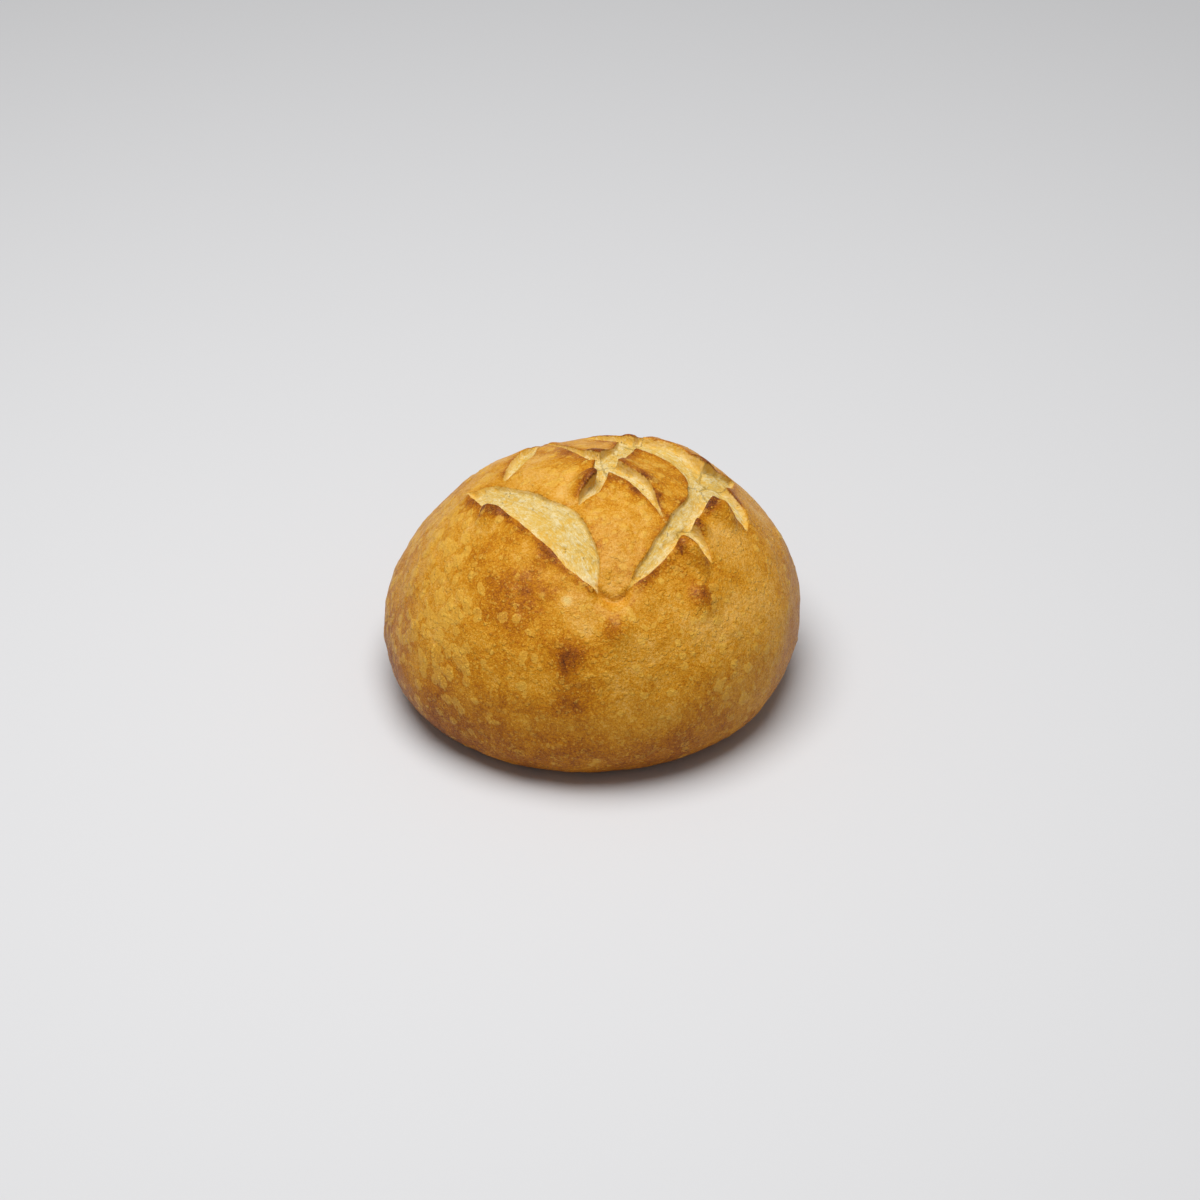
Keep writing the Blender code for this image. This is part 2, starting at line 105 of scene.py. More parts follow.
SLASHES = {
    "front_left": Slash(
        (
            (-49.5, 13.5, 0.2),
            (-44.0, 7.6, 2.0),
            (-39.0, 3.2, 5.4),
            (-34.0, -3.7, 7.0),
            (-27.0, -9.9, 6.8),
            (-18.3, -19.2, 8.3),
            (-10.9, -26.9, 9.0),
            (-5.2, -35.7, 8.0),
            (-1.5, -42.7, 5.8),
            (1.2, -48.2, 2.8),
            (3.8, -52.5, 0.2),
        ),
        Side(0.2, 0.5),
        Side(1.4, 1.2),
        1.0,
    ),
    "front_left_notch": Slash(
        (
            (-35.5, -1.0, 2.0),
            (-38.2, -4.0, 1.5),
            (-40.0, -7.5, 1.0),
            (-40.8, -12.0, 0.2),
        ),
        Side(0.8, 0.9),
        Side(0.3, 0.9),
        0.3,
    ),
    "front_right": Slash(
        (
            (14.0, -51.3, 0.2),
            (16.4, -48.2, 1.1),
            (20.0, -43.5, 2.9),
            (25.6, -36.0, 3.9),
            (30.4, -28.5, 4.2),
            (34.2, -20.8, 4.8),
            (38.5, -12.3, 4.5),
            (41.3, -4.3, 4.8),
            (42.6, 4.5, 6.0),
            (40.8, 12.5, 6.4),
            (35.4, 20.2, 5.8),
            (28.0, 26.3, 5.8),
            (18.5, 31.2, 5.6),
            (9.5, 38.0, 3.6),
            (1.5, 45.0, 1.8),
            (-4.0, 50.0, 0.2),
        ),
        Side(0.3, 0.3),
        Side(1.3, 1.3),
        0.7,
    ),
    "back_left": Slash(
        (
            (-32.6, 8.2, 0.6),
            (-30.6, 12.0, 2.6),
            (-28.0, 18.0, 3.6),
            (-25.4, 26.0, 3.9),
            (-22.6, 34.0, 3.0),
            (-19.5, 44.0, 1.6),
            (-17.0, 52.0, 0.2),
        ),
        Side(0.8, 1.0),
        Side(0.3, 0.8),
        0.5,
    ),
    "cross_front": Slash(
        (
            (-4.0, -17.0, 0.6),
            (-1.6, -13.0, 2.6),
            (1.4, -9.2, 3.6),
            (3.4, -5.2, 3.0),
            (4.6, -0.5, 3.4),
            (5.0, 6.0, 4.4),
        ),
        Side(1.2, 1.4),
        Side(0.7, 1.1),
        0.6,
    ),
    "cross_back_left": Slash(
        (
            (5.0, 6.0, 4.4),
            (-0.3, 13.0, 3.4),
            (-4.4, 20.0, 2.3),
            (-9.5, 29.2, 1.7),
            (-14.5, 39.0, 1.4),
            (-19.0, 49.0, 0.2),
        ),
        Side(0.5, 1.0),
        Side(0.5, 1.0),
        0.4,
    ),
    "cross_back": Slash(
        (
            (5.0, 6.0, 4.4),
            (8.2, 12.0, 4.8),
            (11.6, 19.5, 4.4),
            (14.5, 28.5, 4.8),
        ),
        Side(0.8, 0.7),
        Side(0.5, 0.7),
        0.6,
    ),
    "cross_right": Slash(
        (
            (5.0, 6.0, 4.4),
            (10.4, 2.6, 4.8),
            (14.6, 0.4, 4.8),
            (18.2, -3.0, 4.3),
            (21.4, -7.6, 3.4),
            (23.6, -12.0, 2.3),
            (25.4, -16.8, 1.2),
            (28.0, -23.2, 0.5),
        ),
        Side(1.5, 1.4),
        Side(0.7, 0.9),
        0.4,
    ),
    "right_front_branch": Slash(
        (
            (33.8, -24.0, 4.6),
            (37.8, -25.6, 4.4),
            (41.4, -28.0, 3.2),
            (44.4, -31.0, 1.5),
            (46.4, -33.8, 0.2),
        ),
        Side(0.5, 1.2),
        Side(0.4, 1.0),
        0.4,
    ),
    "right_branch": Slash(
        (
            (42.6, 4.5, 6.0),
            (47.8, 3.0, 7.4),
            (52.4, 0.0, 6.6),
            (56.2, -4.0, 3.8),
            (58.6, -7.2, 1.6),
            (60.2, -10.0, 0.2),
        ),
        Side(0.5, 1.2),
        Side(0.5, 1.4),
        0.5,
    ),
    "right_back_branch": Slash(
        (
            (42.6, 9.0, 6.2),
            (46.8, 13.6, 6.6),
            (50.8, 18.6, 4.8),
            (54.0, 24.0, 2.8),
            (56.6, 30.0, 0.2),
        ),
        Side(0.6, 0.5),
        Side(0.5, 0.7),
        0.5,
    ),
    "back_branch": Slash(
        (
            (18.0, 33.0, 3.0),
            (20.5, 42.0, 1.6),
            (24.0, 51.0, 1.2),
            (28.5, 59.0, 0.2),
        ),
        Side(0.6, 1.4),
        Side(0.6, 1.4),
        0.4,
    ),
}

# A crust tip: where it stands, how high it lifts, how far it curls over and which way,
# and its radius.
Tip = namedtuple("Tip", "x y lift curl toward radius")

TIPS = {
    "front_left_ear": Tip(-35.6, -12.0, 2.4, 1.2, 90, 5.6),
    "cross_nub": Tip(-1.2, -4.6, 4.2, 2.2, 10, 3.6),
    "cross_nub_fold": Tip(-4.4, -8.4, 1.6, 0.6, 20, 3.0),
    "right_front_ear": Tip(36.2, -33.0, 3.7, 1.8, 110, 3.9),
    "right_front_fold": Tip(40.6, -35.2, 2.8, 1.2, 100, 3.6),
    "right_ear": Tip(46.4, -9.4, 3.8, 1.8, 110, 4.0),
    "right_ear_fold": Tip(51.0, -10.8, 2.8, 1.2, 90, 3.7),
    "right_low_ear": Tip(41.8, -20.5, 2.0, 0.9, 150, 2.8),
    "right_back_ear": Tip(42.6, 21.5, 2.4, 1.0, 230, 4.4),
    "back_tile_nose": Tip(2.4, 17.4, 1.4, 0.5, 280, 3.8),
    "right_tile_nose": Tip(14.4, 8.4, 1.1, 0.5, 220, 3.6),
    "centre_tile_nose": Tip(7.2, -9.0, 0.9, 0.4, 120, 3.0),
    "back_left_ear": Tip(-15.0, 43.5, 0.8, 0.4, 250, 3.0),
    "back_ear": Tip(15.5, 40.0, 0.9, 0.4, 250, 2.4),
    "back_right_ear": Tip(24.5, 39.5, 0.8, 0.4, 230, 3.0),
}
TIP_FULLNESS = 1.5  # over 1 gives the tips flatter tops and steeper sides

# A mound, or a dent where the height is negative: x, y, height and radius.
MOUNDS = {
    "crease": (9.0, -52.0, -1.0, 6.0),
    "crease_mound": (10.4, -61.8, 3.0, 5.6),
    "crease_ridge": (-6.0, -62.5, 1.2, 7.0),
    "brown_boss": (42.0, -46.5, 2.1, 4.2),
    "front_boss": (-7.5, -69.0, 1.2, 5.5),
    "left_tile": (-17.0, 8.0, 1.0, 12.0),
    "centre_tile": (13.0, -25.0, 0.8, 12.0),
    "right_tile": (25.0, 3.0, 0.8, 9.0),
    "back_dip": (6.0, 44.0, -0.9, 22.0),
    "right_dip": (64.0, 20.0, -0.7, 14.0),
    "back_flap": (36.0, 32.0, 2.4, 12.0),
}

# A crease in the crust: (x, y, half width) along its middle, and its depth.
Crease = namedtuple("Crease", "middle depth")

CREASES = {
    "front": Crease(
        (
            (1.4, -49.6, 0.6),
            (3.8, -52.4, 1.4),
            (8.2, -54.6, 1.8),
            (12.4, -53.6, 1.5),
            (15.2, -50.0, 0.6),
        ),
        2.4,
    ),
}
FULL_CREASE = 1.5  # narrower creases are shallower

# Rims rise towards a slash over their reach and hang over it. Its wall slopes in under
# them, over its width. All are in millimetres.
RIM_REACH = 4.5
WALL_WIDTH = 1.2
RIM_OVERHANG = 0.7
OVERHANG_REACH = 1.4
WALL_UNDERCUT = 0.2
FULL_HALF_WIDTH = 2.6  # narrower slashes have lower rims and shallower floors
CORNER_BLEND = 0.6
FAR_FROM_SLASHES = 60.0
SLASH_SPACING = 40  # how far apart the slashes' crumb patterns lie

# How far the slash edges wander, and over what lengths.
WOBBLE = ((0.25, 17.0, 0.4), (0.07, 6.0, 2.1))
STEPS_PER_SPAN = 8
LEAST_HALF_WIDTH = 0.1
SIDE_BLEND = 0.6  # how softly a slash's left rim turns into its right one at its ends
LEAST_TURN_UP = 0.15  # slashes stay where the dome's outward direction rises this much
TINY = 1e-6

# Slow unevenness of the whole crust.
LUMP_SIZE = 38.0
LUMP_HEIGHT = 0.6
LUMP_WAVES = 9
LUMP_SPREAD = (0.8, 2.0)  # shortest and longest wave as shares of the size
LUMP_SEED = 4

# A stain on the crust, or a patch of painted shade: its place, radius and how much darker it
# bakes, or paler where that is negative.
Stain = namedtuple("Stain", "x y z radius bake")

STAINS = (
    Stain(-7, -69, 56, 7.5, 0.44),
    Stain(-8, -76, 41, 7.0, 0.20),
    Stain(42, -46, 69, 5.5, 0.34),
    Stain(36, -42, 74, 4.5, 0.12),
    Stain(9, -63, 66, 4.5, 0.24),
    Stain(-2, -63, 65, 5.0, -0.16),
    Stain(-28, -50, 69, 17.0, 0.27),
    Stain(-42, -31, 73, 10.0, 0.10),
    Stain(-30, -26, 80, 5.0, 0.16),
    Stain(-17, -36, 81, 5.0, 0.12),
    Stain(28, -38, 78, 6.0, 0.20),
    Stain(11, -45, 80, 4.0, 0.12),
    Stain(18, -6, 90, 5.0, 0.26),
    Stain(8, -2, 91, 4.0, 0.20),
    Stain(10, -17, 90, 7.0, 0.10),
    Stain(24, -13, 88, 4.0, 0.16),
    Stain(17, 20, 88, 6.0, 0.22),
    Stain(28, 8, 88, 7.0, 0.14),
    Stain(-9, 20, 88, 5.0, 0.24),
    Stain(-8, 9, 90, 7.0, 0.14),
    Stain(-18, 25, 85, 5.0, 0.18),
    Stain(60, -12, 70, 22.0, -0.03),
    Stain(64, -40, 28, 26.0, -0.11),
    # This one is painted shade in the front crease, not a stain.
    Stain(9, -54, 72, 5.0, 0.06),
    Stain(-8, -54, 72, 2.0, -0.60),
)

# A layer of smooth random values: how strong, over what size in millimetres, and a seed.
Layer = namedtuple("Layer", "strength size seed")

# Numbers that scatter the random values evenly.
ROUGH_OFFSET = 137.0
SEED_STEP = 7919
HASH_STEPS = (73856093, 19349663)
HASH_SHUFFLE = (1103515245, 12345)
HASH_MASK = 0x7FFFFFFF
HASH_SHIFT = 13
HASH_DROP = 8
HASH_VALUES = 65536
HASH_MIDDLE = 32767.5

# The torn surface of the crumb. Its threads run along the slash, so their layers' sizes
# are counted in these lengths along it, across it and upward.
THREAD_LENGTHS = (2.4, 0.9, 3.0)
THREAD_LAYERS = (Layer(0.5, 1.0, 11), Layer(0.3, 0.5, 12))
CLOT_LAYERS = (Layer(0.6, 4.2, 13), Layer(0.4, 2.0, 14))
PIT_LAYERS = (Layer(1.0, 1.8, 15),)
PIT_VALUES = (0.40, 0.80)  # the random values where pits begin and are deepest
PIT_DEPTH = 0.8
TORN_VALUES = (-0.9, 0.9)
TORN_HEIGHT = 0.55

# The skin between the blisters, which is ragged next to the slashes.
SKIN_LAYERS = (Layer(0.38, 9.0, 21), Layer(0.16, 3.6, 22), Layer(0.06, 1.5, 23))
RAGGED_LAYERS = (Layer(0.12, 2.4, 24),)
RAGGED_REACH = 1.5
FOOT_HEIGHTS = (0.2, 4.0)  # the skin is smooth under the first, where the loaf stands

# Where blisters crowd: everywhere a little, in patches, on the left flank and on top.
LEAST_CROWD = 0.32
PATCH_LAYERS = (Layer(1.0, 26.0, 31),)
PATCH_VALUES = (-0.2, 0.9)
FLANK_CROWD = 2.2
FLANK_PLACES = (25, 70)
FLANK_HEIGHTS = (8, 30)
TOP_CROWD = 0.8
TOP_HEIGHTS = (76, 86)
BLISTERED_HEIGHTS = (3, 12)
BLISTERED_CRUST = 0.99
BLISTER_TO_EDGE = 1.0

# A blister's radius as a share of the usual one, how much it shows, and its height.
LEAST_RADIUS = 0.65
RADIUS_DRAW = (1.4, 0.45)  # the shape and scale of a gamma draw
FLANK_RADIUS = 0.85
FLANK_FROM = 45
LARGEST_RADIUS = 3.6  # in millimetres
STRENGTHS = (0.2, 1.0)
RISES = (0.2, 1.0)
OUTLINE_LAYERS = (Layer(0.35, 1.6, 32),)
SEARCH_REACH = 1.3
STRENGTH_SLOPE = 2.2
DOME_ROUNDNESS = 0.7

# How dark the crust bakes: it is darker towards the foot, most of all on the left, partly
# from real browning and partly as painted shade, and paler at the crown as painted sheen.
# Each row is an amount and the heights between which it changes.
USUAL_BAKE = 0.44
BAKE_LAYERS = (Layer(0.05, 30.0, 41), Layer(0.09, 11.0, 42), Layer(0.05, 4.5, 43))
FOOT_BAKES_AND_SHADE = ((0.25, 8, 64), (0.05, 8, 34))
CROWN_SHEEN = (-0.07, 66, 86)
LEFT_FOOT_BAKE_AND_SHADE = (0.06, 10, 45)
LEFT_FOOT_PLACES = (20, 70)
STAIN_LAYERS = (Layer(0.22, 4.0, 44),)

# Rims and tips bake darker. Each row is an amount and how far it reaches, in millimetres.
RIM_BAKES = ((0.25, 2.2), (0.16, 7.0))
LEAST_RIM = 0.22
FULL_RIM = 1.4
USUAL_RIM_BAKE = 0.75
RIM_LAYERS = (Layer(0.6, 5.0, 45),)
TIP_LIFTS = (0.4, 2.2)
TIP_BAKE = 0.15
TIP_EDGE_BAKE = (0.11, 3.0)
DARKEST_BAKE = 0.88

# A noise in the material: its size, in metres unless it runs along fibres, its detail,
# roughness and distortion. A grain is a noise with its share in tone and in relief.
Noise = namedtuple("Noise", "size detail roughness distortion")
Grain = namedtuple("Grain", "noise tone relief")

SKIN_GRAINS = {
    "mottle": Grain(Noise(0.0060, 6.0, 0.66, 1.2), 0.52, 0.40),
    "fine": Grain(Noise(0.0010, 3.0, 0.60, 0.0), 0.46, 0.55),
    "sand": Grain(Noise(0.00040, 2.0, 0.50, 0.0), 0.55, 0.30),
    "wrinkle": Grain(Noise(0.0021, 4.0, 0.62, 1.6), -0.22, 0.80),
}
FIBRE_GRAINS = {
    "threads": Grain(Noise(1.0, 4.0, 0.60, 0.8), 0.9, 0.6),
    "strands": Grain(Noise(0.36, 3.0, 0.60, 0.6), 1.0, 0.6),
}
CRUMB_GRAINS = {
    "grit": Grain(Noise(0.0012, 4.0, 0.70, 0.0), 0.9, 0.6),
    "cloud": Grain(Noise(0.0070, 3.0, 0.60, 0.0), 0.7, 0.0),
}

# Small pale spots in the skin: how far apart, how ragged, the noise that thins them out
# with its share and its level, the distances where a spot is full and where it is gone,
# and its share in paleness and in relief.
Spots = namedtuple("Spots", "spacing ragged thinning share level full gone pale relief")

BUBBLES = Spots(0.0030, 0.3, Noise(0.0045, 2.0, 0.5, 0.0), 1.3, 0.66, 0.14, 0.28, 0.20, 0.40)
SPECKS = Spots(0.0014, 0.3, Noise(0.0025, 2.0, 0.5, 0.0), 1.2, 0.62, 0.10, 0.30, 0.34, 0.14)

# The crust's colours by how dark it bakes, and the crumb's by how light its tone is.
BAKE_STOPS = (
    (0.0, "straw"),
    (0.26, "pale_gold"),
    (0.46, "gold"),
    (0.64, "amber"),
    (0.82, "brown"),
    (1.0, "char"),
)
CRUMB_STOPS = ((0.12, "crumb_shade"), (0.42, "crumb"), (0.74, "crumb_light"))

# A blister is outlined in amber and pale inside, most of all near its outline.
OUTLINE_BEGINS = (0.02, 0.16)
OUTLINE_ENDS = (0.16, 0.40)
OUTLINE_SHARE = 0.28
BLISTER_BEGINS = (0.10, 0.34)
BLISTER_SKIN = 0.84
BLISTER_MIDDLE = 0.42
BLISTER_SHARE = 0.66
NO_PALE_BAKES = (0.70, 0.90)  # darker crust shows no pale spots

# The crumb: how many of its fibres' lengths go into a millimetre along the slash and across
# it, its tone, its toasted edges, which are partly real toasting and partly painted shade on
# the slash walls, and its holes, which are painted darker as shade.
FIBRE_SCALES = (0.28, 1.25)
CRUMB_TONE = 0.38
TORN_SHADE_TONE = 0.22
TOAST_AND_SHADE_RAGGED = 2.0
TOAST_AND_SHADE_EDGE = (-1.8, -0.2)
TOAST_AND_SHADE_SHARE = 0.6
HOLE_SPACING = 0.0020
HOLE_EDGE = (0.10, 0.20)
HOLE_THINNING = Noise(0.004, 2.0, 0.5, 0.0)
HOLE_PATCHES = (0.55, 0.64)
HOLE_SHARE = 0.6
HOLE_DEPTH = 0.8

# Where crust turns into crumb, in millimetres from the slash's edge, and the finish.
CRUST_RAGGED = 0.5
CRUST_EDGE = (-0.45, -0.10)
CRUST_ROUGHNESS = 0.44
CRUMB_ROUGHNESS = 0.82
BLISTER_GLOSS = 0.06
FINE_GLOSS = 0.18
SPECULAR_LEVEL = 0.10
GLAZE = 0.10
GLAZE_ROUGHNESS = 0.26
RELIEF_HEIGHT = 0.0006

# The input and output numbers of a Mix node that mixes colours.
MIX_SHARE, MIX_FIRST, MIX_SECOND = 0, 6, 7
MIX_RESULT = 2

BLISTER_SEED = 20

# The stage, in metres.
FLOOR_SPAN = 20  # half the floor's width, in widths of the loaf
FLOOR_ROUGHNESS = 0.9
OVERHEAD_PLACE = (-0.10, -0.10, 1.25)
OVERHEAD_TARGET = (0, 0, 0.05)
OVERHEAD_SIZE = 1.0
CAMERA_PLACE = (0.004, -1.0740, 0.8132)
SENSOR_WIDTH = 36.0  # in millimetres
FARTHEST_SEEN = 20.0


class Socket:
    """A node's output, which Python's operators turn into Math nodes."""

    def __init__(self, graph, output):
        self.graph = graph
        self.output = output

    def math(self, operation, *others, clamp=False):
        settings = {"operation": operation, "use_clamp": clamp}
        values = dict(enumerate((self, *others)))
        return self.graph.add("ShaderNodeMath", settings, values)["Value"]

    def __add__(self, other):
        return self.math("ADD", other)

    __radd__ = __add__

    def __mul__(self, other):
        return self.math("MULTIPLY", other)

    __rmul__ = __mul__

    def __sub__(self, other):
        return self.math("SUBTRACT", other)

    def __rsub__(self, other):
        return (self * -1) + other

    def clamped(self):
        return self.math("ADD", 0.0, clamp=True)

    def between(self, low, high):
        """Rises smoothly from 0 at low to 1 at high."""
        settings = {"interpolation_type": "SMOOTHSTEP"}
        values = {"Value": self, "From Min": low, "From Max": high}
        return self.graph.add("ShaderNodeMapRange", settings, values)["Result"]


class Node:
    """A shader node whose outputs are read by name or number."""

    def __init__(self, graph, node):
        self.graph = graph
        self.node = node

    def __getitem__(self, name):
        return Socket(self.graph, self.node.outputs[name])


class Graph:
    """A material's nodes, added one at a time."""

    def __init__(self, material):
        material.use_nodes = True
        self.tree = material.node_tree
        self.tree.nodes.clear()

    def add(self, kind, settings=None, values=None):
        """Adds a node, sets its settings, then gives its sockets values or links."""
        node = self.tree.nodes.new(kind)
        for name, setting in (settings or {}).items():
            if name == "stops":
                self.set_stops(node.color_ramp, setting)
            else:
                setattr(node, name, setting)
        for name, value in (values or {}).items():
            if isinstance(value, Socket):
                self.tree.links.new(value.output, node.inputs[name])
            else:
                node.inputs[name].default_value = value
        return Node(self, node)

    def set_stops(self, ramp, stops):
        while len(ramp.elements) < len(stops):
            ramp.elements.new(1.0)
        for element, (position, colour) in zip(ramp.elements, stops):
            element.position = position
            element.color = (*colour, 1.0)

    def ramp(self, value, stops):
        return self.add("ShaderNodeValToRGB", {"stops": stops}, {"Fac": value})["Color"]

    def mix(self, share, first, second):
        """Mixes a socket's colour with another socket's, or with a plain colour."""
        if not isinstance(second, Socket):
            second = (*second, 1.0)
        values = {MIX_SHARE: share, MIX_FIRST: first, MIX_SECOND: second}
        return self.add("ShaderNodeMix", {"data_type": "RGBA"}, values)[MIX_RESULT]

    def attribute(self, name):
        return self.add("ShaderNodeAttribute", {"attribute_name": name})["Fac"]

    def place(self):
        """The place on the loaf, in metres."""
        return self.add("ShaderNodeTexCoord")["Object"]

    def noise(self, vector, kind):
        """Random values from 0 to 1."""
        values = {
            "Vector": vector,
            "Scale": 1 / kind.size,
            "Detail": kind.detail,
            "Roughness": kind.roughness,
            "Distortion": kind.distortion,
        }
        return self.add("ShaderNodeTexNoise", {"noise_dimensions": "3D"}, values)["Fac"]

    def cells(self, vector, size):
        """The distance to the nearest of random points about a size apart."""
        values = {"Vector": vector, "Scale": 1 / size}
        return self.add("ShaderNodeTexVoronoi", {"feature": "F1"}, values)["Distance"]

    def vector(self, x, y, z):
        return self.add("ShaderNodeCombineXYZ", None, {0: x, 1: y, 2: z})["Vector"]

    def bump(self, height, distance):
        values = {"Height": height, "Distance": distance, "Strength": 1.0}
        return self.add("ShaderNodeBump", None, values)["Normal"]

    def finish(self, surface):
        """Adds the shader and the material's output."""
        shader = self.add("ShaderNodeBsdfPrincipled", None, surface)
        self.add("ShaderNodeOutputMaterial", None, {"Surface": shader["BSDF"]})


def smoothstep(value, low, high):
    share = np.clip((value - low) / (high - low), 0, 1)
    return share * share * (3 - 2 * share)


def rough(points, size, seed):
    """Smooth random values from -1 to 1 that change over about a given size."""
    scaled = points / size + ROUGH_OFFSET
    cell = np.floor(scaled).astype(np.int64)
    share = scaled - cell
    share = share * share * (3 - 2 * share)
    total = np.zeros(len(points))
    for corner in np.ndindex(*(2,) * points.shape[1]):
        key = np.full(len(points), seed * SEED_STEP, np.int64)
        weight = np.ones(len(points))
        for axis, step in enumerate(corner):
            key = key * HASH_STEPS[0] + (cell[:, axis] + step) * HASH_STEPS[1]
            key &= HASH_MASK
            key ^= key >> HASH_SHIFT
            weight *= share[:, axis] if step else 1 - share[:, axis]
        key = (key * HASH_SHUFFLE[0] + HASH_SHUFFLE[1]) & HASH_MASK
        total += weight * ((key >> HASH_DROP) % HASH_VALUES / HASH_MIDDLE - 1)
    return total


def layered(points, layers):
    """Layers of smooth random values, added up."""
    return sum(layer.strength * rough(points, layer.size, layer.seed) for layer in layers)


def dome(unit):
    """The plain dome, with one point for each unit vector."""
    turn = np.arctan2(unit[:, 1], unit[:, 0])
    away = np.arccos(np.clip(unit[:, 2], -1, 1))
    away = 2 * np.arctan2(TOP_CROWDING * np.sin(away / 2), np.cos(away / 2))
    upper = np.minimum(away, math.pi / 2)
    lower_span = LOWER_CURVE_END - math.pi / 2
    lower = np.clip((away - math.pi / 2) / lower_span, 0, 1) * math.pi / 2
    inward = np.clip((math.pi - away) / (math.pi - LOWER_CURVE_END), 0, 1)

    rise = LOAF_HEIGHT - WIDEST_HEIGHT
    drop = WIDEST_HEIGHT + BASE_SAG
    flare = (WIDEST_RADIUS - BASE_RADIUS) * np.abs(np.cos(lower)) ** (2 / LOWER_ROUNDNESS)
    above = away < math.pi / 2
    radius = np.where(
        above,
        WIDEST_RADIUS * np.sin(upper) ** (2 / UPPER_ROUNDNESS),
        (BASE_RADIUS + flare) * inward,
    )
    height = np.where(
        above,
        WIDEST_HEIGHT + rise * np.abs(np.cos(upper)) ** (2 / UPPER_ROUNDNESS),
        WIDEST_HEIGHT - drop * np.sin(lower) ** (2 / LOWER_ROUNDNESS),
    )
    swell = np.ones_like(turn)
    for count, cosine, sine in OUTLINE_WAVES:
        swell += cosine * np.cos(count * turn) + sine * np.sin(count * turn)
    share = height / LOAF_HEIGHT
    across = radius * swell * np.cos(turn) + TOP_LEAN_X * share
    deep = radius * swell * np.sin(turn) + TOP_LEAN_Y * share
    return np.stack((across, deep, height), axis=1)


def smooth_path(rows):
    """Points along a smooth curve through the rows, each (x, y, half width)."""
    rows = np.array(rows, float)
    padded = np.vstack((2 * rows[0] - rows[1], rows, 2 * rows[-1] - rows[-2]))
    found = []
    for before, start, end, after in zip(padded, padded[1:], padded[2:], padded[3:]):
        for t in np.arange(STEPS_PER_SPAN) / STEPS_PER_SPAN:
            found.append(
                0.5 * (
                    2 * start
                    + (end - before) * t
                    + (2 * before - 5 * start + 4 * end - after) * t**2
                    + (3 * start - before - 3 * end + after) * t**3
                )
            )
    found.append(rows[-1])
    path = np.array(found)
    path[:, 2] = np.maximum(path[:, 2], LEAST_HALF_WIDTH)
    return path


def near_path(x, y, path):
    """Where each point lies beside a path: its distance from the path's edge, the way
    from the path's middle, from -1 on its right to 1 on its left, the half width there,
    and how far along the path that is."""
    best = np.full(len(x), np.inf)
    way = np.zeros((len(x), 2))
    side = np.zeros(len(x))
    half = np.ones(len(x))
    travel = np.zeros(len(x))
    passed = 0.0
    for start, end in zip(path, path[1:]):
        run = end - start
        length = math.hypot(run[0], run[1])
        along = ((x - start[0]) * run[0] + (y - start[1]) * run[1]) / length**2
        along = np.clip(along, 0, 1)
        off_x = x - start[0] - along * run[0]
        off_y = y - start[1] - along * run[1]
        distance = np.hypot(off_x, off_y)
        width = start[2] + along * run[2]
        nearer = distance - width < best
        scale = np.maximum(distance, TINY)
        best = np.where(nearer, distance - width, best)
        way[nearer, 0] = (off_x / scale)[nearer]
        way[nearer, 1] = (off_y / scale)[nearer]
        side = np.where(nearer, (run[0] * off_y - run[1] * off_x) / (length * scale), side)
        half = np.where(nearer, width, half)
        travel = np.where(nearer, passed + along * length, travel)
        passed += length
    return best, way, side, half, travel


def wander(x, y):
    """Where a point lies once the slash edges around it are made uneven."""
    moved_x = x.copy()
    moved_y = y.copy()
    for size, length, start in WOBBLE:
        turn = 2 * math.pi / length
        moved_x += size * np.sin(y * turn + start + np.sin(x * turn / 2))
        moved_y += size * np.sin(x * turn + 2 * start + np.sin(y * turn / 2))
    return moved_x, moved_y


def slide(points, normals, across_x, across_y):
    """Moves points over the surface by a distance seen from above."""
    fall = (normals[:, 0] * across_x + normals[:, 1] * across_y) / normals[:, 2]
    return points + np.stack((across_x, across_y, -fall), axis=1)


def crowd_edges(points, normals):
    """Draws nearby points towards the slash edges, where the shape turns fastest."""
    x, y = points[:, 0].copy(), points[:, 1].copy()
    for slash in SLASHES.values():
        distance, way, _, _, _ = near_path(*wander(x, y), smooth_path(slash.middle))
        pull = -EDGE_CROWDING * distance * np.exp(-((distance / EDGE_CROWDING_REACH) ** 2))
        x += pull * way[:, 0]
        y += pull * way[:, 1]
    return slide(points, normals, x - points[:, 0], y - points[:, 1])


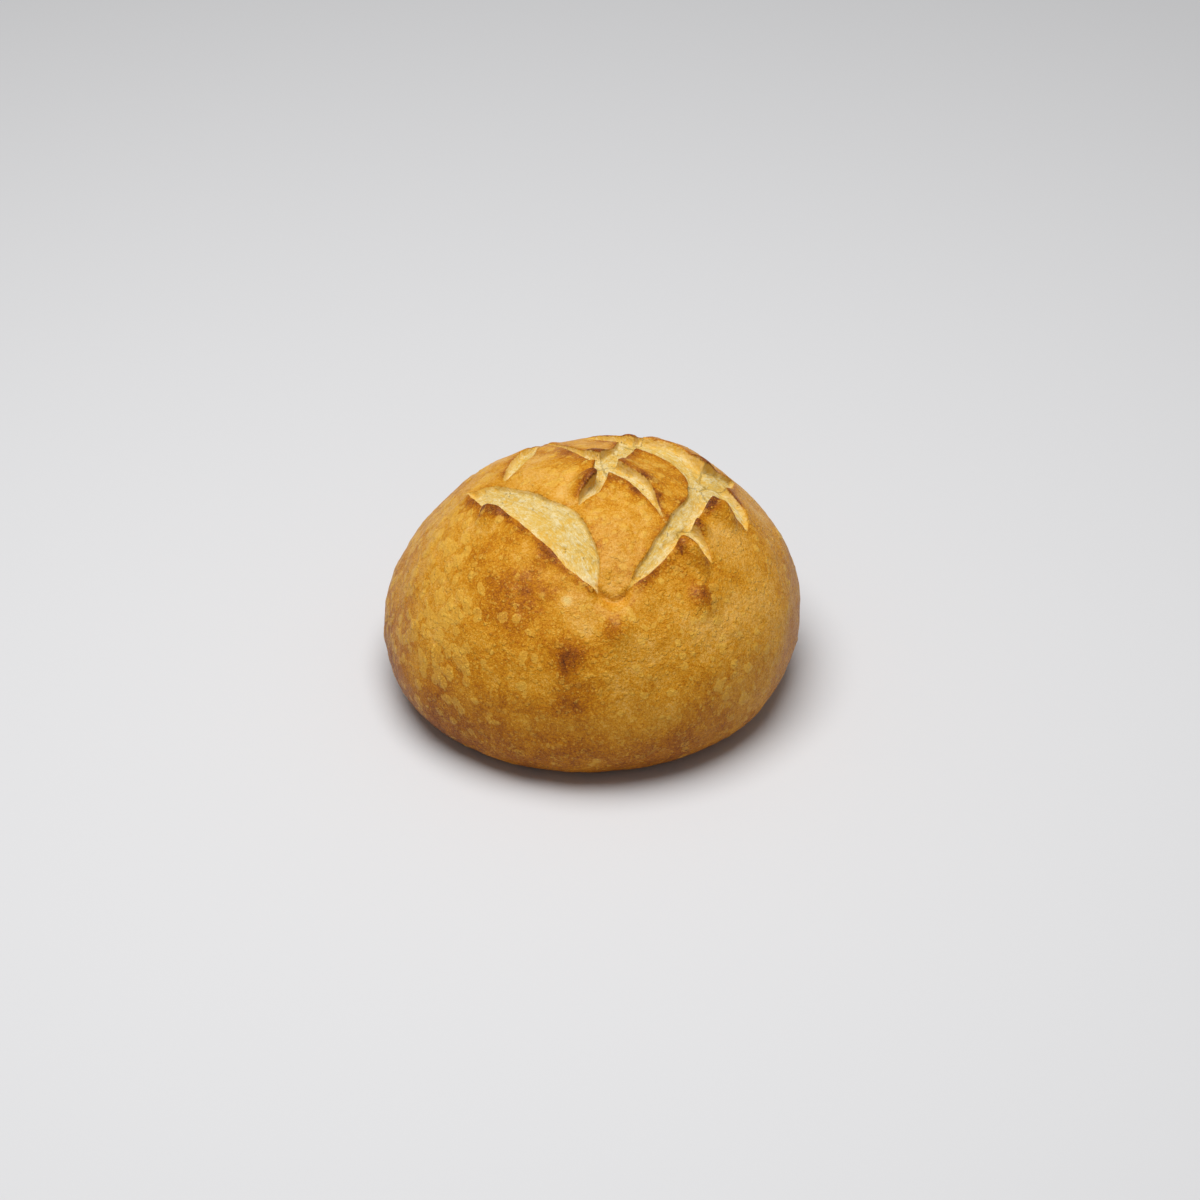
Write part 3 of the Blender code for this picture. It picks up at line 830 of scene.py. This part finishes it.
def slash_relief(x, y):
    """The height of rims and floors at each point, the sideways shift that makes the
    rims hang over, and what lies there: how far it is crust, the distance from the
    slash's edge, the rim's height, and the way along and across the slash."""
    moved = wander(x, y)
    found = []
    for slash in SLASHES.values():
        found.append((slash, *near_path(*moved, smooth_path(slash.middle))))
    nearest = np.min([row[1] for row in found], axis=0)
    rim = np.zeros_like(x)
    floor = np.zeros_like(x)
    weight = np.full_like(x, TINY)
    shift = np.zeros((len(x), 2))
    along_slash = np.zeros_like(x)
    across_slash = np.zeros_like(x)
    for order, (slash, distance, way, side, half, travel) in enumerate(found):
        leftness = smoothstep(side, -SIDE_BLEND, SIDE_BLEND)
        share = smoothstep(half, 0, FULL_HALF_WIDTH)
        rise = slash.right.rim + leftness * (slash.left.rim - slash.right.rim)
        outside = np.maximum(distance, 0)
        inside = np.maximum(-distance, 0)
        rim += rise * share * np.exp(-outside / RIM_REACH)

        across = np.clip(side * (distance + half) / half, -1, 1)
        drop = slash.right.drop + (slash.left.drop - slash.right.drop) * (across + 1) / 2
        floor += inside * share * (drop + slash.hollow * (1 - across**2))
        weight += inside

        over = RIM_OVERHANG * np.exp(-outside / OVERHANG_REACH)
        under = (WALL_UNDERCUT + RIM_OVERHANG) * smoothstep(inside, 0, WALL_WIDTH)
        hang = (under - over) * (1 - smoothstep(inside, WALL_WIDTH, FULL_HALF_WIDTH))
        hang *= share * np.minimum(rise, 1) * np.exp(-(distance - nearest) / CORNER_BLEND)
        shift += hang[:, None] * way
        here = distance == nearest
        along_slash = np.where(here, travel + SLASH_SPACING * order, along_slash)
        across_slash = np.where(here, side * (distance + half), across_slash)
    crust = 1 - smoothstep(-nearest, 0, WALL_WIDTH)
    marks = {
        "crust": crust,
        "edge": nearest,
        "rim": rim,
        "along": along_slash,
        "across": across_slash,
    }
    return rim * crust - floor / weight * (1 - crust), shift, marks


def tip_relief(x, y, crust):
    """The lift of the curled crust tips, and their sideways shift."""
    lift = np.zeros_like(x)
    shift = np.zeros((len(x), 2))
    for tip in TIPS.values():
        away = ((x - tip.x) ** 2 + (y - tip.y) ** 2) / tip.radius**2
        near = np.exp(-(away**TIP_FULLNESS)) * crust
        lift += tip.lift * near
        toward = math.radians(tip.toward)
        shift += (tip.curl * near)[:, None] * np.array((math.cos(toward), math.sin(toward)))
    return lift, shift


def mound_relief(x, y):
    height = np.zeros_like(x)
    for middle_x, middle_y, rise, radius in MOUNDS.values():
        height += rise * np.exp(-((x - middle_x) ** 2 + (y - middle_y) ** 2) / radius**2)
    return height


def crease_relief(x, y):
    height = np.zeros_like(x)
    for crease in CREASES.values():
        distance, _, _, half, _ = near_path(x, y, smooth_path(crease.middle))
        away = (distance + half) / half
        height -= crease.depth * np.minimum(half / FULL_CREASE, 1) * np.exp(-(away**2))
    return height


def lumps(points):
    """Slow swells in every direction, from a few waves added up."""
    draw = np.random.default_rng(LUMP_SEED)
    height = np.zeros(len(points))
    for _ in range(LUMP_WAVES):
        way = draw.normal(size=3)
        way *= 2 * math.pi / (LUMP_SIZE * draw.uniform(*LUMP_SPREAD) * np.linalg.norm(way))
        height += np.sin(points @ way + draw.uniform(0, 2 * math.pi))
    return LUMP_HEIGHT * height / math.sqrt(LUMP_WAVES)


def cube_of_cells(name, cells):
    """A mesh of a cube whose sides are cut into even cells."""
    mesh = bmesh.new()
    bmesh.ops.create_cube(mesh, size=2.0)
    bmesh.ops.subdivide_edges(mesh, edges=mesh.edges[:], cuts=cells - 1, use_grid_fill=True)
    for face in mesh.faces:
        face.smooth = True
    data = bpy.data.meshes.new(name)
    mesh.to_mesh(data)
    mesh.free()
    return data


def read_points(data):
    points = np.empty(3 * len(data.vertices))
    data.vertices.foreach_get("co", points)
    return points.reshape(-1, 3)


def set_points(data, points):
    """Moves a mesh's vertices and gives its outward directions there."""
    data.vertices.foreach_set("co", points.ravel())
    data.update()
    normals = np.empty(3 * len(data.vertices))
    data.vertex_normals.foreach_get("vector", normals)
    return normals.reshape(-1, 3)


def directions(cube_points):
    """Unit vectors for points on a cube, spaced so that cells come out alike."""
    spread = np.tan(cube_points * math.pi / 4)
    return spread / np.linalg.norm(spread, axis=1, keepdims=True)


def shaped_crust(data):
    """Points of the loaf's true form, and what lies at each: how far it is crust, its
    distance from a slash's edge, the height of the rim and the crust tip there, and its
    way along and across the slash."""
    points = dome(directions(read_points(data)))
    normals = set_points(data, points)
    top = (normals[:, 2] > LEAST_TURN_UP) & (points[:, 2] > WIDEST_HEIGHT)
    points[top] = crowd_edges(points[top], normals[top])
    marks = {
        "crust": np.ones(len(points)),
        "edge": np.full(len(points), FAR_FROM_SLASHES),
        "rim": np.zeros(len(points)),
        "tip": np.zeros(len(points)),
        "along": np.zeros(len(points)),
        "across": np.zeros(len(points)),
    }
    x, y = points[top, 0], points[top, 1]
    height, shift, found = slash_relief(x, y)
    for name, values in found.items():
        marks[name][top] = values
    tip_height, tip_shift = tip_relief(x, y, found["crust"])
    marks["tip"][top] = tip_height
    shift = shift + tip_shift
    shaped = points.copy()
    shaped[top] = slide(points[top], normals[top], shift[:, 0], shift[:, 1])
    height = height + tip_height + mound_relief(x, y) + crease_relief(x, y)
    shaped[top] += normals[top] * height[:, None]
    above_base = smoothstep(points[:, 2], 0, WIDEST_HEIGHT)
    shaped += normals * (lumps(points) * above_base)[:, None]
    shaped[:, 2] = np.maximum(shaped[:, 2], 0)
    return shaped, marks


def crust_marks(data, draw):
    """Points of the loaf with its fine relief, in millimetres, and what lies at each."""
    look = bpy.context.scene.loaf_look
    shaped, marks = shaped_crust(data)
    normals = set_points(data, shaped)
    crust, edge = marks["crust"], marks["edge"]

    crumb, marks["torn"] = crumb_relief(shaped, marks)
    marks["blister"], rise = blisters(shaped, crust, edge, draw)
    skin = skin_relief(shaped, edge) + look.blister_height / MM * rise
    skin *= smoothstep(shaped[:, 2], *FOOT_HEIGHTS)
    height = crumb * (1 - crust) + skin * crust
    shaped = shaped + normals * height[:, None]
    shaped[:, 2] = np.maximum(shaped[:, 2], 0)
    marks["bake"] = baking(shaped, marks)
    return shaped, marks


def crumb_relief(points, marks):
    """The torn, fibrous surface of the open crumb, in millimetres, and how far each point
    lies out of its pits, from 0 to 1, which paints shade into its low parts."""
    places = np.stack((marks["along"], marks["across"], points[:, 2]), axis=1)
    torn = layered(places / THREAD_LENGTHS, THREAD_LAYERS) + layered(points, CLOT_LAYERS)
    torn -= PIT_DEPTH * smoothstep(layered(points, PIT_LAYERS), *PIT_VALUES)
    return TORN_HEIGHT * torn, smoothstep(torn, *TORN_VALUES)


def skin_relief(points, edge):
    """The slight unevenness of the crust between its blisters, in millimetres."""
    ragged = np.exp(-((edge / RAGGED_REACH) ** 2)) * layered(points, RAGGED_LAYERS)
    return layered(points, SKIN_LAYERS) + ragged


def blister_crowd(points, crust, edge):
    """How likely a blister is at each point."""
    x, _, z = points.T
    crowd = LEAST_CROWD + smoothstep(layered(points, PATCH_LAYERS), *PATCH_VALUES)
    crowd += FLANK_CROWD * smoothstep(-x, *FLANK_PLACES) * smoothstep(z, *FLANK_HEIGHTS)
    crowd += TOP_CROWD * smoothstep(z, *TOP_HEIGHTS)
    crowd *= (crust > BLISTERED_CRUST) * (edge > BLISTER_TO_EDGE)
    crowd *= smoothstep(z, *BLISTERED_HEIGHTS)
    return crowd / crowd.sum()


def blisters(points, crust, edge, draw):
    """Bubbles under the crust: how much each point belongs to one, and its height as a
    share of the largest."""
    look = bpy.context.scene.loaf_look
    chance = blister_crowd(points, crust, edge)
    centres = draw.choice(len(points), look.blister_count, p=chance)
    tree = kdtree.KDTree(len(points))
    for index, point in enumerate(points):
        tree.insert(point, index)
    tree.balance()
    ragged = 1 + layered(points, OUTLINE_LAYERS)
    member = np.zeros(len(points))
    height = np.zeros(len(points))
    for centre in centres:
        size = LEAST_RADIUS + draw.gamma(*RADIUS_DRAW)
        if points[centre, 0] < -FLANK_FROM:
            size += FLANK_RADIUS
        radius = min(size * look.blister_radius / MM, LARGEST_RADIUS)
        strength = draw.uniform(*STRENGTHS)
        rise = draw.uniform(*RISES)
        near = tree.find_range(Vector(points[centre]), SEARCH_REACH * radius)
        for _, index, distance in near:
            dome_share = max(0.0, 1 - (distance * ragged[index] / radius) ** 2)
            shown = strength * min(1.0, STRENGTH_SLOPE * dome_share)
            member[index] = max(member[index], shown)
            height[index] = max(height[index], rise * dome_share**DOME_ROUNDNESS)
    return member, height


def falling(height, amount, low, high):
    """An amount at and under a low height that fades to nothing at a high one."""
    return amount * (1 - smoothstep(height, low, high))


def faded(distance, amount, reach):
    """An amount that fades over a distance."""
    return amount * np.exp(-((distance / reach) ** 2))


def baking(points, marks):
    """How dark the crust is baked, from 0 for pale straw to 1 for char, with painted shade
    towards the foot and in the front crease, and painted sheen at the crown.
    """
    x, y, z = points.T
    bake = USUAL_BAKE + layered(points, BAKE_LAYERS)
    # Darker towards the foot: partly real browning and partly painted shade.
    for row in FOOT_BAKES_AND_SHADE:
        bake += falling(z, *row)
    # Paler at the crown: painted sheen.
    amount, low, high = CROWN_SHEEN
    bake += amount * smoothstep(z, low, high)
    # Darker still on the left foot: partly real browning and partly painted shade.
    bake += smoothstep(-x, *LEFT_FOOT_PLACES) * falling(z, *LEFT_FOOT_BAKE_AND_SHADE)
    ragged = 1 + layered(points, STAIN_LAYERS)
    for stain in STAINS:
        away = np.hypot(np.hypot(x - stain.x, y - stain.y), z - stain.z) * ragged
        bake += faded(away, stain.bake, stain.radius)
    edge = np.maximum(marks["edge"], 0)
    rim = np.clip(LEAST_RIM + marks["rim"] / FULL_RIM, 0, 1)
    rim *= USUAL_RIM_BAKE + layered(points, RIM_LAYERS)
    for row in RIM_BAKES:
        bake += rim * faded(edge, *row)
    bake += smoothstep(marks["tip"], *TIP_LIFTS) * (TIP_BAKE + faded(edge, *TIP_EDGE_BAKE))
    return np.clip(bake, 0, DARKEST_BAKE)


def store(data, name, values):
    layer = data.attributes.new(name, "FLOAT", "POINT")
    layer.data.foreach_set("value", values.astype(np.float32))


def add_grains(graph, vector, grains):
    """Adds noises and gives each by its name, then their tone and their relief in all."""
    noises = {name: graph.noise(vector, grain.noise) for name, grain in grains.items()}
    tone = sum((noises[name] - 0.5) * grain.tone for name, grain in grains.items())
    relief = sum(noises[name] * grain.relief for name, grain in grains.items())
    return noises, tone, relief


def spots(graph, place, kind, ragged):
    """Small round spots: 1 in their middles and 0 between them."""
    distance = graph.cells(place, kind.spacing) + (ragged - 0.5) * kind.ragged
    thinned = distance + graph.noise(place, kind.thinning) * kind.share - kind.level
    return 1 - thinned.between(kind.full, kind.gone)


def colour_stops(look, stops):
    return [(position, getattr(look, name)) for position, name in stops]


def crust_skin(graph, look, place, blister):
    """The crust's colour, its fine relief, and the fine noise of its skin."""
    noises, browning, relief = add_grains(graph, place, SKIN_GRAINS)
    bubble = spots(graph, place, BUBBLES, noises["fine"])
    speck = spots(graph, place, SPECKS, noises["sand"])
    relief = relief + bubble * BUBBLES.relief + speck * SPECKS.relief

    bake = graph.attribute("bake") + browning
    colour = graph.ramp(bake.clamped(), colour_stops(look, BAKE_STOPS))
    outline = blister.between(*OUTLINE_BEGINS) * (1 - blister.between(*OUTLINE_ENDS))
    colour = graph.mix(outline * OUTLINE_SHARE, colour, look.amber)
    skin = blister.between(*BLISTER_BEGINS) * (BLISTER_SKIN - blister * BLISTER_MIDDLE)
    pale = skin * BLISTER_SHARE + bubble * BUBBLES.pale + speck * SPECKS.pale
    pale = pale.clamped() * (1 - bake.between(*NO_PALE_BAKES))
    return graph.mix(pale, colour, look.blister), relief, noises["fine"]


def open_crumb(graph, look, place, edge):
    """The crumb's colour and its fine relief."""
    along, across = FIBRE_SCALES
    fibres = graph.vector(
        graph.attribute("along") * along, graph.attribute("across") * across, 0.0
    )
    noises, fibre_tone, fibre_relief = add_grains(graph, fibres, FIBRE_GRAINS)
    _, crumb_tone, relief = add_grains(graph, place, CRUMB_GRAINS)
    # The crumb is painted darker in the low parts of its torn relief and in its pits, as
    # shade.
    tone = graph.attribute("torn") * TORN_SHADE_TONE + fibre_tone + crumb_tone + CRUMB_TONE
    colour = graph.ramp(tone.clamped(), colour_stops(look, CRUMB_STOPS))

    # The band next to the crust is partly real toasting and partly painted shade on the
    # slash walls.
    toast_and_shade = (edge + (noises["threads"] - 0.5) * TOAST_AND_SHADE_RAGGED).between(*TOAST_AND_SHADE_EDGE)
    colour = graph.mix(toast_and_shade * TOAST_AND_SHADE_SHARE, colour, look.crumb_shade)
    holes = 1 - graph.cells(place, HOLE_SPACING).between(*HOLE_EDGE)
    holes = holes * graph.noise(place, HOLE_THINNING).between(*HOLE_PATCHES)
    # The holes are painted darker, as shade.
    colour = graph.mix(holes * HOLE_SHARE, colour, look.crumb_pit)
    return colour, fibre_relief + relief - holes * HOLE_DEPTH


def loaf_material(look):
    """Golden crust with paler blisters and browned rims, and pale crumb in the slashes."""
    material = bpy.data.materials.new("baked_crust")
    graph = Graph(material)
    place = graph.place()
    edge = graph.attribute("edge")
    blister = graph.attribute("blister")
    crust, skin_height, fine = crust_skin(graph, look, place, blister)
    crumb, crumb_height = open_crumb(graph, look, place, edge)

    on_crust = (edge + (fine - 0.5) * CRUST_RAGGED).between(*CRUST_EDGE)
    gloss = CRUST_ROUGHNESS - blister * BLISTER_GLOSS + (fine - 0.5) * FINE_GLOSS
    relief = on_crust * skin_height + (1 - on_crust) * crumb_height
    graph.finish(
        {
            "Base Color": graph.mix(on_crust, crumb, crust),
            "Roughness": CRUMB_ROUGHNESS + on_crust * (gloss - CRUMB_ROUGHNESS),
            "Specular IOR Level": SPECULAR_LEVEL,
            "Coat Weight": on_crust * GLAZE,
            "Coat Roughness": GLAZE_ROUGHNESS,
            "Normal": graph.bump(relief, RELIEF_HEIGHT),
        }
    )
    return material


def fit_to_frame(data):
    """Scales the mesh by the little that its box differs from the solid's."""
    points = read_points(data)
    low, high = points.min(axis=0), points.max(axis=0)
    scale = (np.array(LOAF_HIGH) - np.array(LOAF_LOW)) / (high - low)
    set_points(data, (points - low) * scale + np.array(LOAF_LOW))


class LoafLook(PropertyGroup):
    """Sizes and colours of the loaf."""

    blister_count: IntProperty(
        name="Blisters",
        description="How many raised blisters lie on the crust",
        default=760,
        min=0,
    )
    blister_radius: FloatProperty(
        name="Blister radius",
        description="Usual radius of a blister",
        default=0.001,
        unit="LENGTH",
    )
    blister_height: FloatProperty(
        name="Blister height",
        description="Height of the tallest blisters over the crust",
        default=0.00034,
        unit="LENGTH",
    )
    # Straw and pale gold carry a little extra blue, which stands for painted sheen on the
    # pale crown.
    straw: FloatVectorProperty(
        name="Straw",
        description="Crust that has hardly browned",
        default=(0.80, 0.54, 0.17),
        subtype="COLOR",
    )
    pale_gold: FloatVectorProperty(
        name="Pale gold",
        description="Lightly browned crust",
        default=(0.79, 0.43, 0.092),
        subtype="COLOR",
    )
    gold: FloatVectorProperty(
        name="Gold",
        description="Most of the crust",
        default=(0.67, 0.295, 0.014),
        subtype="COLOR",
    )
    amber: FloatVectorProperty(
        name="Amber",
        description="Crust near its stains and rims",
        default=(0.50, 0.168, 0.002),
        subtype="COLOR",
    )
    brown: FloatVectorProperty(
        name="Brown",
        description="Darkest crust of rims and tips",
        default=(0.31, 0.082, 0.004),
        subtype="COLOR",
    )
    char: FloatVectorProperty(
        name="Char",
        description="Scorched tips",
        default=(0.11, 0.028, 0.006),
        subtype="COLOR",
    )
    blister: FloatVectorProperty(
        name="Blister",
        description="Thin skin of a blister",
        default=(0.85, 0.505, 0.075),
        subtype="COLOR",
    )
    crumb: FloatVectorProperty(
        name="Crumb",
        description="Open crumb in the slashes",
        default=(0.735, 0.49, 0.115),
        subtype="COLOR",
    )
    crumb_light: FloatVectorProperty(
        name="Light crumb",
        description="Palest threads of the crumb",
        default=(0.83, 0.68, 0.36),
        subtype="COLOR",
    )
    # Its colour is partly real toasting and partly painted shade, on the slash walls and in
    # the crumb's low parts and pits.
    crumb_shade: FloatVectorProperty(
        name="Toasted crumb",
        description="Most toasted threads of the crumb",
        default=(0.74, 0.40, 0.05),
        subtype="COLOR",
    )
    # The pits' colour is painted shade in the crumb's small holes.
    crumb_pit: FloatVectorProperty(
        name="Crumb pits",
        description="Small holes in the crumb",
        default=(0.40, 0.22, 0.06),
        subtype="COLOR",
    )


class StageLook(PropertyGroup):
    """The floor, lights and camera."""

    floor: FloatVectorProperty(
        name="Floor",
        description="Colour of the plain floor",
        default=(0.68, 0.68, 0.69),
        subtype="COLOR",
    )
    pitch: FloatProperty(
        name="Camera pitch",
        description="How far the camera looks down",
        default=math.radians(36),
        subtype="ANGLE",
    )
    lens: FloatProperty(
        name="Lens",
        description="Focal length of the camera on a 36 mm sensor, in millimetres",
        default=103.0,
    )
    key_power: FloatProperty(
        name="Overhead light",
        description="Power of the soft light overhead",
        default=17.3,
        unit="POWER",
    )
    fill: FloatProperty(
        name="Room light",
        description="Strength of the even light from all round",
        default=0.20,
    )


class LOAF_OT_bake(Operator):
    """Shape the loaf and colour its crust and crumb"""

    bl_idname = "loaf.bake"
    bl_label = "Bake the Loaf"

    def execute(self, context):
        look = context.scene.loaf_look
        draw = np.random.default_rng(BLISTER_SEED)
        data = cube_of_cells("loaf_crust", CELLS_PER_SIDE)
        points, marks = crust_marks(data, draw)
        set_points(data, points * MM)
        fit_to_frame(data)
        for name in ("edge", "blister", "bake", "torn", "along", "across"):
            store(data, name, marks[name])
        data.materials.append(loaf_material(look))
        loaf = bpy.data.objects.new("loaf_crust", data)
        context.scene.collection.objects.link(loaf)
        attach(loaf, "root")
        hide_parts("loaf")
        return {"FINISHED"}


def floor_material(colour):
    material = bpy.data.materials.new("plain_floor")
    graph = Graph(material)
    graph.finish({"Base Color": (*colour, 1.0), "Roughness": FLOOR_ROUGHNESS})
    return material


def add_overhead_light(power):
    light = bpy.data.lights.new("overhead", "AREA")
    light.shape = "DISK"
    light.size = OVERHEAD_SIZE
    light.energy = power
    holder = bpy.data.objects.new("overhead", light)
    holder.location = OVERHEAD_PLACE
    way = Vector(OVERHEAD_TARGET) - Vector(OVERHEAD_PLACE)
    holder.rotation_euler = way.to_track_quat("-Z", "Y").to_euler()
    bpy.context.scene.collection.objects.link(holder)


class LOAF_OT_stage(Operator):
    """Set the loaf on a pale floor, under soft light, in front of a camera"""

    bl_idname = "loaf.stage"
    bl_label = "Set the Stage"

    def execute(self, context):
        stage = context.scene.stage_look
        half = FLOOR_SPAN * (CAD_HIGH.x - CAD_LOW.x)
        floor_data = bpy.data.meshes.new("floor")
        mesh = bmesh.new()
        bmesh.ops.create_grid(mesh, x_segments=1, y_segments=1, size=half)
        mesh.to_mesh(floor_data)
        mesh.free()
        floor_data.materials.append(floor_material(stage.floor))
        floor = bpy.data.objects.new("floor", floor_data)
        floor.location.z = CAD_LOW.z
        context.scene.collection.objects.link(floor)
        floor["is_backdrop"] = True

        world = bpy.data.worlds.new("room")
        world.use_nodes = True
        background = world.node_tree.nodes["Background"]
        background.inputs["Color"].default_value = (1.0, 1.0, 1.0, 1.0)
        background.inputs["Strength"].default_value = stage.fill
        context.scene.world = world
        add_overhead_light(stage.key_power)

        camera = bpy.data.cameras.new("camera")
        camera.lens = stage.lens
        camera.sensor_width = SENSOR_WIDTH
        camera.clip_end = FARTHEST_SEEN
        holder = bpy.data.objects.new("camera", camera)
        holder.location = CAMERA_PLACE
        holder.rotation_euler = (math.pi / 2 - stage.pitch, 0, 0)
        context.scene.collection.objects.link(holder)
        context.scene.camera = holder
        context.scene.view_settings.view_transform = "Standard"
        return {"FINISHED"}


class LOAF_PT_panel(Panel):
    """Lists the loaf's sizes and colours"""

    bl_label = "Sourdough Loaf"
    bl_space_type = "VIEW_3D"
    bl_region_type = "UI"
    bl_category = "Loaf"

    def draw(self, context):
        layout = self.layout
        for look in (context.scene.loaf_look, context.scene.stage_look):
            box = layout.box()
            for name in look.__annotations__:
                box.prop(look, name)
        for operator in OPERATORS:
            layout.operator(operator.bl_idname)


OPERATORS = (LOAF_OT_bake, LOAF_OT_stage)
CLASSES = (LoafLook, StageLook, *OPERATORS, LOAF_PT_panel)


def register():
    for item in CLASSES:
        bpy.utils.register_class(item)
    bpy.types.Scene.loaf_look = PointerProperty(type=LoafLook)
    bpy.types.Scene.stage_look = PointerProperty(type=StageLook)


def unregister():
    del bpy.types.Scene.stage_look
    del bpy.types.Scene.loaf_look
    for item in reversed(CLASSES):
        bpy.utils.unregister_class(item)


def main():
    register()
    bpy.ops.loaf.bake()
    bpy.ops.loaf.stage()


if __name__ == "__main__":
    main()
